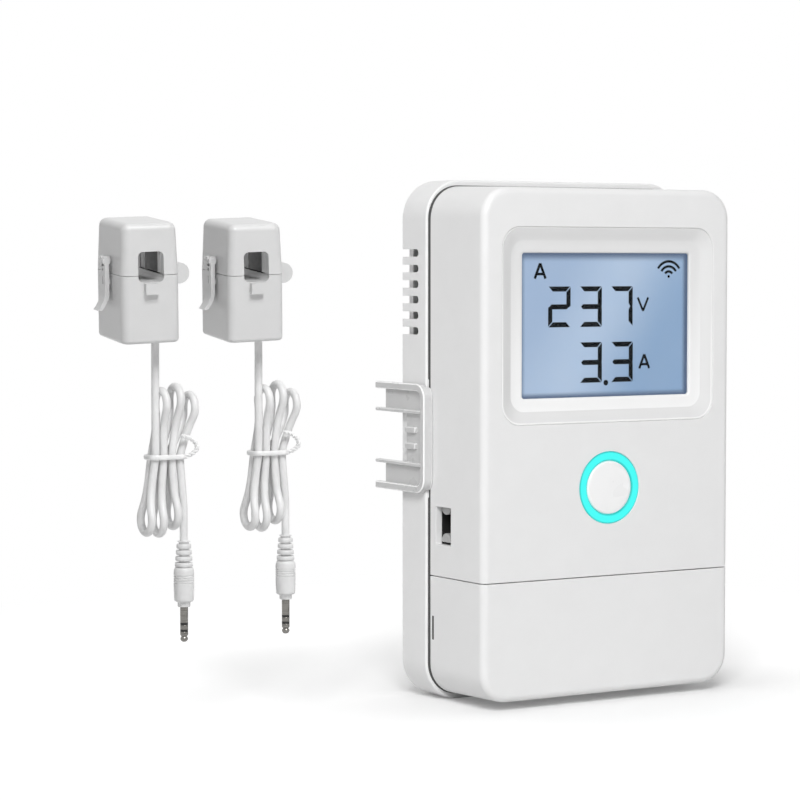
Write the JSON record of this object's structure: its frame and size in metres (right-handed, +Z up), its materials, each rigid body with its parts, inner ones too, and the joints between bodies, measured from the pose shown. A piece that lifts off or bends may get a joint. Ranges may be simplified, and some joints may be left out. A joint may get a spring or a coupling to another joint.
{
  "type": "smart energy monitor",
  "caption": "Wall or rail mounted energy monitor with a backlit display, a lit round button, a lift-off terminal cover and clip-on split-core current sensors on tied cords.",
  "frame": {"origin": "middle of the rail seat on the back of the rear shell", "axes": "+Z up along the rail, -Y out of the front face, +X to the right as seen from the front"},
  "size_m": [0.2266, 0.0612, 0.174],
  "materials": {
    "shell_white": "satin moulded",
    "rear_white": "satin moulded",
    "bezel_white": "smooth moulded",
    "clear_window": "polished clear",
    "lcd_glass": "backlit liquid crystal",
    "diffuser": "white diffuser",
    "elastomer": "matte",
    "light_guide": "glowing cyan",
    "lamp": "clear lamp",
    "button_white": "smooth moulded",
    "black_plastic": "matte",
    "circuit_board": "solder mask",
    "bright_steel": "zinc plated",
    "coil_tape": "wound tape",
    "can_sleeve": "shrink sleeve",
    "ceramic_tube": "fired",
    "tin_can": "tinned",
    "terminal_green": "moulded",
    "contact_gold": "gold plated",
    "sensor_white": "satin moulded",
    "ferrite": "ground sintered",
    "bobbin_nylon": "moulded",
    "copper_wire": "enamelled copper",
    "cord_white": "soft vinyl",
    "tie_white": "coated wire",
    "plug_white": "soft vinyl moulding",
    "plug_plate": "nickel plated",
    "plug_band": "moulded black"
  },
  "bodies": {
    "monitor": {"front_shell": "shell_white", "rear_shell": "rear_white", "display_bezel": "bezel_white", "display_lens": "clear_window", "lcd_panel": "lcd_glass", "backlight_panel": "diffuser", "lcd_strips": "elastomer", "light_ring": "light_guide", "status_leds": "lamp", "button_switch": "black_plastic", "main_board": "circuit_board", "board_screws": "bright_steel", "power_board": "circuit_board", "board_link": "black_plastic", "transformer": "coil_tape", "filter_capacitor": "can_sleeve", "fuse": "ceramic_tube", "metering_chip": "black_plastic", "radio_module": "tin_can", "terminal_block": "terminal_green", "terminal_screws": "bright_steel", "probe_socket": "black_plastic", "probe_contacts": "contact_gold", "ct_jacks": "black_plastic", "case_screws": "bright_steel", "ct_a_base": "sensor_white", "ct_a_base_core": "ferrite", "ct_a_bobbin": "bobbin_nylon", "ct_a_winding": "copper_wire", "ct_a_hinge_pin": "sensor_white", "ct_a_grommet": "cord_white", "ct_a_lead": "cord_white", "ct_a_hank": "cord_white", "ct_a_tail": "cord_white", "ct_a_tie": "tie_white", "ct_a_plug_body": "plug_white", "ct_a_plug_contacts": "plug_plate", "ct_a_plug_insulators": "plug_band", "ct_b_base": "sensor_white", "ct_b_base_core": "ferrite", "ct_b_bobbin": "bobbin_nylon", "ct_b_winding": "copper_wire", "ct_b_hinge_pin": "sensor_white", "ct_b_grommet": "cord_white", "ct_b_lead": "cord_white", "ct_b_hank": "cord_white", "ct_b_tail": "cord_white", "ct_b_tie": "tie_white", "ct_b_plug_body": "plug_white", "ct_b_plug_contacts": "plug_plate", "ct_b_plug_insulators": "plug_band"},
    "button": {"button_cap": "button_white"},
    "cover": {"terminal_cover": "shell_white"},
    "rail_slide": {"rail_latch": "rear_white"},
    "jaw_a": {"ct_a_jaw": "sensor_white", "ct_a_jaw_core": "ferrite"},
    "strap_a": {"ct_a_latch": "sensor_white"},
    "jaw_b": {"ct_b_jaw": "sensor_white", "ct_b_jaw_core": "ferrite"},
    "strap_b": {"ct_b_latch": "sensor_white"}
  },
  "joints": [
    {"name": "button_press", "type": "slide", "parent": "monitor", "child": "button", "axis": [0, 1, 0], "range_m": [0, 0.0008], "stiffness_N_per_m": 400, "springref_m": -0.0005},
    {"name": "terminal_cover_pull", "type": "slide", "parent": "monitor", "child": "cover", "axis": [0, -1, 0], "range_m": [0, 0.04]},
    {"name": "rail_latch_slide", "type": "slide", "parent": "monitor", "child": "rail_slide", "axis": [-1, 0, 0], "range_m": [0, 0.006]},
    {"name": "ct_a_jaw_open", "type": "hinge", "parent": "monitor", "child": "jaw_a", "pos_m": [-0.15093, -0.02497, 0.05708], "axis": [0.1193, 0.9883, 0.0955], "range_deg": [0, 60]},
    {"name": "ct_a_strap_swing", "type": "hinge", "parent": "jaw_a", "child": "strap_a", "pos_m": [-0.17201, -0.02272, 0.06016], "axis": [0.1193, 0.9883, 0.0955], "range_deg": [0, 15], "stiffness_Nm_per_rad": 0.004, "springref_deg": -2.86},
    {"name": "ct_b_jaw_open", "type": "hinge", "parent": "monitor", "child": "jaw_b", "pos_m": [-0.11493, -0.02497, 0.05708], "axis": [0.1193, 0.9883, 0.0955], "range_deg": [0, 60]},
    {"name": "ct_b_strap_swing", "type": "hinge", "parent": "jaw_b", "child": "strap_b", "pos_m": [-0.13601, -0.02272, 0.06016], "axis": [0.1193, 0.9883, 0.0955], "range_deg": [0, 15], "stiffness_Nm_per_rad": 0.004, "springref_deg": -2.86}
  ]
}
